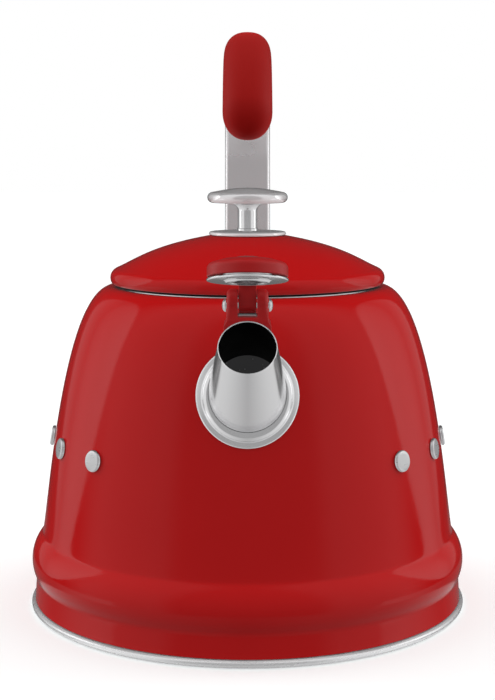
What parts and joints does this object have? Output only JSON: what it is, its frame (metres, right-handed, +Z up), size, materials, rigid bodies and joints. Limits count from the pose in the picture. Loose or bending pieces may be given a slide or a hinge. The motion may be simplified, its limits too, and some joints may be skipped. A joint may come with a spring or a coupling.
{
  "type": "stovetop whistling kettle",
  "caption": "Red enamelled stovetop kettle with a lift-off lid, a forward-curving grip on a steel arm and a spout closed by a hinged whistle.",
  "frame": {"origin": "centre of the flat underside that rests on the hob, on the pot's axis", "axes": "+Z up along the pot's axis, -Y towards the spout, +X to the right seen from the spout side; X is the mirror direction"},
  "size_m": [0.2, 0.2392, 0.2588],
  "materials": {
    "enamel": "glossy enamel on steel",
    "soft_touch": "matte soft-touch coating",
    "whistle_plastic": "smooth heat-proof plastic",
    "satin_steel": "satin",
    "polished_steel": "polished",
    "aluminium": "mill finish",
    "black_silicone": "matte"
  },
  "bodies": {
    "kettle": {"base_cap": "satin_steel", "heat_spreader": "aluminium", "base_pan": "satin_steel", "pot_shell": "enamel", "spout_tube": "polished_steel", "spout_rosette": "polished_steel", "whistle_bracket": "whistle_plastic", "bracket_screw": "satin_steel", "detent_leaf": "satin_steel", "hinge_pin": "satin_steel", "handle_arm": "polished_steel", "handle_bracket": "satin_steel", "handle_screw_1": "satin_steel", "handle_screw_2": "satin_steel", "handle_grip": "soft_touch", "grip_screw": "satin_steel", "stud_left_1": "satin_steel", "stud_left_2": "satin_steel", "stud_left_3": "satin_steel", "stud_left_4": "satin_steel", "stud_right_1": "satin_steel", "stud_right_2": "satin_steel", "stud_right_3": "satin_steel", "stud_right_4": "satin_steel"},
    "lid": {"lid_shell": "enamel", "lid_skirt": "satin_steel", "lid_seal": "black_silicone", "knob_plate": "polished_steel", "knob_stem": "polished_steel", "knob_disc": "polished_steel", "knob_washer": "satin_steel", "knob_screw": "satin_steel"},
    "whistle": {"whistle_plate": "polished_steel", "whistle_cup": "satin_steel", "whistle_cap": "whistle_plastic", "cap_inlay": "polished_steel"}
  },
  "joints": [
    {"name": "lid_lift", "type": "slide", "parent": "kettle", "child": "lid", "axis": [0, 0, 1], "range_m": [0, 0.035]},
    {"name": "whistle_hinge", "type": "hinge", "parent": "kettle", "child": "whistle", "pos_m": [0, -0.10273, 0.14771], "axis": [1, 0, 0], "range_deg": [0, 66.8]}
  ]
}
